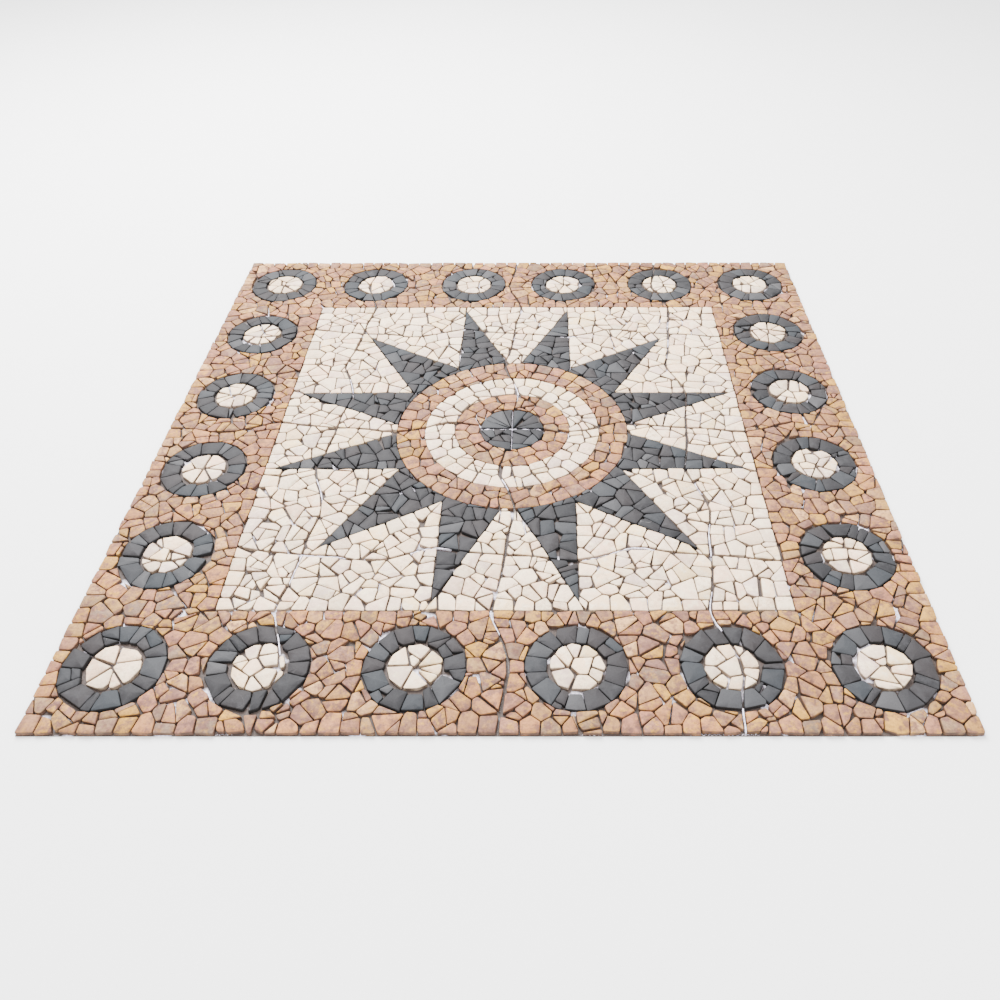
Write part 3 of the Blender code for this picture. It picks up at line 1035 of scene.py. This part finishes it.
def by_mats(test, rows, row, stone_area, trim, circles, chance):
    """Stones of one part of the drawing, mat by mat, cut clear of circles."""
    inside = samples[test(samples)]
    rows = rows[test(rows)]
    off_seams = [np.abs(gauge(*rows.T)) > ROW_OFF_SEAM for *_, gauge in SEAMS]
    rows = rows[np.all(off_seams, axis=0)]
    sample_mats = np.stack(mat_of(inside), 1)
    row_mats = np.stack(mat_of(rows), 1)
    stones = {}
    for mat in sorted({(int(r), int(c)) for r, c in sample_mats}):
        points = inside[(sample_mats == mat).all(1)]
        places = rows[(row_mats == mat).all(1)]
        if len(points) * SAMPLE_STEP ** 2 < SMALLEST_PIECE:
            continue
        outlines = patch(points, places, row, stone_area, trim, mat, chance)
        for centre, radius in circles:
            outlines = [outside_circle(outline, centre, radius) for outline in outlines]
            outlines = [outline for outline in outlines if outline]
        stones[mat] = outlines
    return stones


def all_of(stones):
    """Stones of every mat together."""
    return [outline for outlines in stones.values() for outline in outlines]


def gather(total, stones):
    """Adds stones to a store of stones by mat."""
    for mat, outlines in stones.items():
        total.setdefault(mat, []).extend(outlines)


def lay_by_mats(stones, name, node, slot, chance):
    """Lays the stones of each mat as one group, named by the mat's row and column."""
    for (row, column), outlines in sorted(stones.items()):
        place = f"{row + 1}_{column + 1}"
        lay(f"{name}_{place}", outlines, f"{node}_{place}", slot, chance)


def sun_ring(inner, outer, chance):
    """Stones of one ring of the sun, in two uneven rows."""
    rim = sides_of([polar(outer, math.tau * k / SUN_RIM_SIDES) for k in range(SUN_RIM_SIDES)])
    row = ((outer - inner) / 2, SUN_STONE_SPACING)
    rows = np.concatenate([row_round(ORIGIN, inner, row, chance),
                           row_round(ORIGIN, outer, (-row[0], row[1]), chance)])
    test = between_circles(ORIGIN, inner, outer)
    return by_mats(test, rows, row, SUN_STONE_AREA, keep_inside(rim), [(ORIGIN, inner)], chance)


sun = [(ORIGIN, SUN_RADIUS)]
no_rows = np.zeros((0, 2))
chance = np.random.default_rng(12)

# Cream stones: the field with its rows, the middles of the rings and the sun's cream ring
cream_rows = [row_along(*side, CREAM_ROW, chance) for side in edges(FIELD)]
for first, tip, last in rays:
    cream_rows += [row_along(tip, first, CREAM_ROW, chance), row_along(last, tip, CREAM_ROW, chance)]
cream_rows.append(row_round(ORIGIN, SUN_RADIUS, CREAM_ROW, chance))
cream_rows = np.concatenate(cream_rows)
cream_stones = by_mats(in_cream, cream_rows, CREAM_ROW, CREAM_STONE_AREA, trim_cream, sun, chance)
for centre in rings:
    test = between_circles(centre, 0.0, RING_MIDDLE_RADIUS)
    trim = trim_middle(centre, chance)
    gather(cream_stones, by_mats(test, no_rows, CREAM_ROW, CENTRE_STONE_AREA, trim, [], chance))
gather(cream_stones, sun_ring(INNER_ROSE_RADIUS, CREAM_SUN_RADIUS, chance))
lay_by_mats(cream_stones, "cream_stones", "cream_mat", "cream_marble", chance)

# Rose stones of the border
ring_circles = [(centre, RING_RADIUS) for centre in rings]
rose_rows = [row_along(*side, EDGE_ROW, chance) for side in edges(PANEL)]
rose_rows += [row_along(end, start, ROSE_ROW, chance) for start, end in edges(FIELD)]
rose_rows += [row_round(centre, RING_RADIUS, RING_ROW, chance) for centre in rings]
rose_rows = np.concatenate(rose_rows)
rose_stones = by_mats(in_rose, rose_rows, ROSE_ROW, ROSE_STONE_AREA, trim_rose, ring_circles, chance)
lay_by_mats(rose_stones, "rose_stones", "rose_border", "rose_marble", chance)

# Dark rings
for number, centre in enumerate(rings, start=1):
    stones = sectors(centre, RING_MIDDLE_RADIUS, RING_RADIUS, RING_STONE_LENGTH, chance, RING_SPLIT_SHARE)
    lay(f"ring_stones_{number:02d}", all_of(stones), f"dark_ring_{number:02d}", "dark_marble", chance)

# Star, three rays to a quarter
for quarter in range(4):
    outlines = []
    for ray in range(quarter * RAYS_PER_QUARTER, (quarter + 1) * RAYS_PER_QUARTER):
        first, tip, last = rays[ray]
        rows = np.concatenate([row_round(ORIGIN, SUN_RADIUS, DARK_ROW, chance),
                               row_along(first, tip, DARK_ROW, chance),
                               row_along(tip, last, DARK_ROW, chance)])
        trim = keep_inside(ray_wedges[ray])
        outlines += all_of(by_mats(in_ray(ray), rows, DARK_ROW, DARK_STONE_AREA, trim, sun, chance))
    lay(f"star_stones_{quarter + 1}", outlines, f"star_quarter_{quarter + 1}", "dark_marble", chance)

# Sun: its rose rings, then the disc with wedges in its back half and broken stones in its front half
inner_rose = all_of(sun_ring(DISC_RADIUS, INNER_ROSE_RADIUS, chance))
lay("sun_inner_stones", inner_rose, "sun_inner_rose", "rose_marble", chance)
outer_rose = sun_ring(CREAM_SUN_RADIUS, SUN_RADIUS, chance)
for quarter, mat in enumerate([(2, 2), (2, 1), (1, 1), (1, 2)], start=1):
    lay(f"sun_outer_stones_{quarter}", outer_rose[mat], f"sun_outer_rose_{quarter}", "rose_marble", chance)
quarter_turn = math.tau / 4
quarters = [quarter_turn * k for k in range(4)]
disc = all_of(sectors(ORIGIN, 0.0, DISC_RADIUS, DISC_STONE_LENGTH, chance, breaks=quarters))
disc = [outline for outline in disc if middle(outline)[1] > 0]
for start in quarters[2:]:
    turns = [start + quarter_turn * k / DISC_QUARTER_SIDES for k in range(DISC_QUARTER_SIDES + 1)]
    outline = [ORIGIN] + [polar(DISC_RADIUS, turn) for turn in turns]
    outline = short_of_cross(outline, polar(DISC_RADIUS / 2, start + quarter_turn / 2))
    disc += broken(outline, DISC_STONE_AREA, chance)
lay("sun_disc_stones", disc, "sun_dark_disc", "dark_marble", chance)


# Nets: one thin woven sheet under each mat

def mat_corner(row, column, i, j):
    """Corner of a mat, i of 0 or 1 across and j up, a little short of the seams that meet there."""
    x = (column + i) * MAT_PITCH - PANEL_HALF
    y = (row + j) * MAT_PITCH - PANEL_HALF
    for _ in range(CROSSING_ROUNDS):
        if 0 < column + i < MATS_PER_SIDE:
            x = float(seam_x(column + i, y)) + NET_GAP * (1 - 2 * i)
        if 0 < row + j < MATS_PER_SIDE:
            y = float(seam_y(row + j, x)) + NET_GAP * (1 - 2 * j)
    return x, y


def net_outline(row, column):
    """Outline of a mat along its seams, a little short of its neighbours."""
    corners = [mat_corner(row, column, i, j) for i, j in ((0, 0), (1, 0), (1, 1), (0, 1))]
    seams = ((row, NET_GAP), (column + 1, -NET_GAP), (row + 1, -NET_GAP), (column, NET_GAP))
    outline = []
    for side, ((start, end), (number, shift)) in enumerate(zip(edges(corners), seams)):
        for step in range(NET_EDGE_STEPS):
            x = start[0] + (end[0] - start[0]) * step / NET_EDGE_STEPS
            y = start[1] + (end[1] - start[1]) * step / NET_EDGE_STEPS
            if step and 0 < number < MATS_PER_SIDE:
                if side % 2:
                    x = float(seam_x(number, y)) + shift
                else:
                    y = float(seam_y(number, x)) + shift
            outline.append((x, y))
    return outline


def finish_net(piece):
    """Gives a piece of net its finish and its body."""
    piece.data.materials.append(white_net)
    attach(piece, "root")


for row in range(MATS_PER_SIDE):
    for column in range(MATS_PER_SIDE):
        net = flat_faces(f"net_{row + 1}_{column + 1}", [net_outline(row, column)], 0.0)
        extrude(net, [0.0, NET_TOP])
        finish_net(net)
        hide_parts(f"cream_mat_{row + 1}_{column + 1}")


def fray(name, line, width, foot, top, chance):
    """A strip of bunched net threads that stands on edge along a line, given as its x and its y."""
    line = np.stack(line, 1)
    run = np.gradient(line, axis=0)
    run /= np.hypot(*run.T)[:, None]
    left = np.stack([-run[:, 1], run[:, 0]], 1)
    half = width / 2 * chance.uniform(0.6, 1.2, len(line))[:, None]
    vertices = [(x, y, foot) for x, y in np.concatenate([line - left * half, line + left * half])]
    faces = [(k, k + 1, len(line) + k + 1, len(line) + k) for k in range(len(line) - 1)]
    strip = mesh_piece(name, vertices, faces)
    extrude(strip, [foot, top])
    for vertex in strip.data.vertices:
        if vertex.co.z > (foot + top) / 2:
            drop = abs(chance.normal(0, (top - foot) * FRAY_DROP))
            vertex.co.z = max(vertex.co.z - drop, foot + FRAY_LEAST)
    finish_net(strip)


for index, (way, number, start, end) in enumerate(FRAYED, start=1):
    places = np.arange(start, end, FRAY_STEP)
    line = [seam_x(number, places), places] if way == 'x' else [places, seam_y(number, places)]
    fray(f"net_fray_{index:02d}", line, FRAY_WIDTH, NET_TOP, FRAY_TOP, chance)
cross = np.arange(-DISC_RADIUS + CROSS_STRIP_SETBACK, DISC_RADIUS, FRAY_STEP)
cross_lines = ([cross * 0, cross], [cross, cross * 0])
for index, (line, width) in enumerate(zip(cross_lines, CROSS_STRIP_WIDTHS), start=1):
    fray(f"net_fray_cross_{index}", line, width, NET_TOP, FRAY_TOP, chance)
for index, (start, end) in enumerate(LOOP_SPANS, start=1):
    places = np.arange(start, end, LOOP_LENGTH / 6)
    reach = LOOP_REACH * np.abs(np.sin(math.pi * places / LOOP_LENGTH))
    line = [places, LOOP_REACH - PANEL_HALF + LOOP_INSET - reach]
    fray(f"net_loops_{index}", line, LOOP_WIDTH, LOOP_FOOT, LOOP_TOP, chance)


# Floor, lights and camera

FLOOR_SIZE = 14.0
FLOOR_DROP = 0.0002
SKY_STRENGTH = 2.1
CAMERA_PLACE = (0.0534, -1.1643, 0.9347)
CAMERA_LENS = 30.63
CAMERA_SHIFT = -0.0408
CAMERA_TILT = math.radians(46.66)
CAMERA_YAW = math.radians(0.18)
CAMERA_ROLL = math.radians(-0.155)

floor_finish = Finish("pale_floor", 0.9)
floor_finish.shader.inputs["Base Color"].default_value = (0.95, 0.95, 0.95, 1.0)
bpy.ops.mesh.primitive_plane_add(size=FLOOR_SIZE, location=(0, 0, -FLOOR_DROP))
floor = bpy.context.active_object
floor.name = "floor"
floor.data.materials.append(floor_finish.material)


def softbox(name, place, size, power):
    """A square studio light that faces the middle of the panel."""
    light = bpy.data.lights.new(name, 'AREA')
    light.shape = 'SQUARE'
    light.size = size
    light.energy = power
    lamp = new_object(name, light)
    lamp.location = place
    lamp.rotation_euler = Vector(place).to_track_quat('Z', 'Y').to_euler()


softbox("key", (-0.9, 1.6, 2.6), 2.2, 430.0)
softbox("fill", (1.8, -1.6, 2.4), 2.5, 85.0)

world = bpy.data.worlds.new("studio")
bpy.context.scene.world = world
world.use_nodes = True
sky = world.node_tree.nodes["Background"].inputs
sky["Color"].default_value = (1.0, 1.0, 1.0, 1.0)
sky["Strength"].default_value = SKY_STRENGTH

camera_data = bpy.data.cameras.new("camera")
camera_data.lens = CAMERA_LENS
camera_data.shift_x = CAMERA_SHIFT
camera = new_object("camera", camera_data)
camera_turn = Matrix.Rotation(CAMERA_YAW, 4, 'Z') @ Matrix.Rotation(CAMERA_TILT, 4, 'X')
camera_turn = camera_turn @ Matrix.Rotation(CAMERA_ROLL, 4, 'Z')
camera.matrix_world = Matrix.Translation(CAMERA_PLACE) @ camera_turn
bpy.context.scene.camera = camera
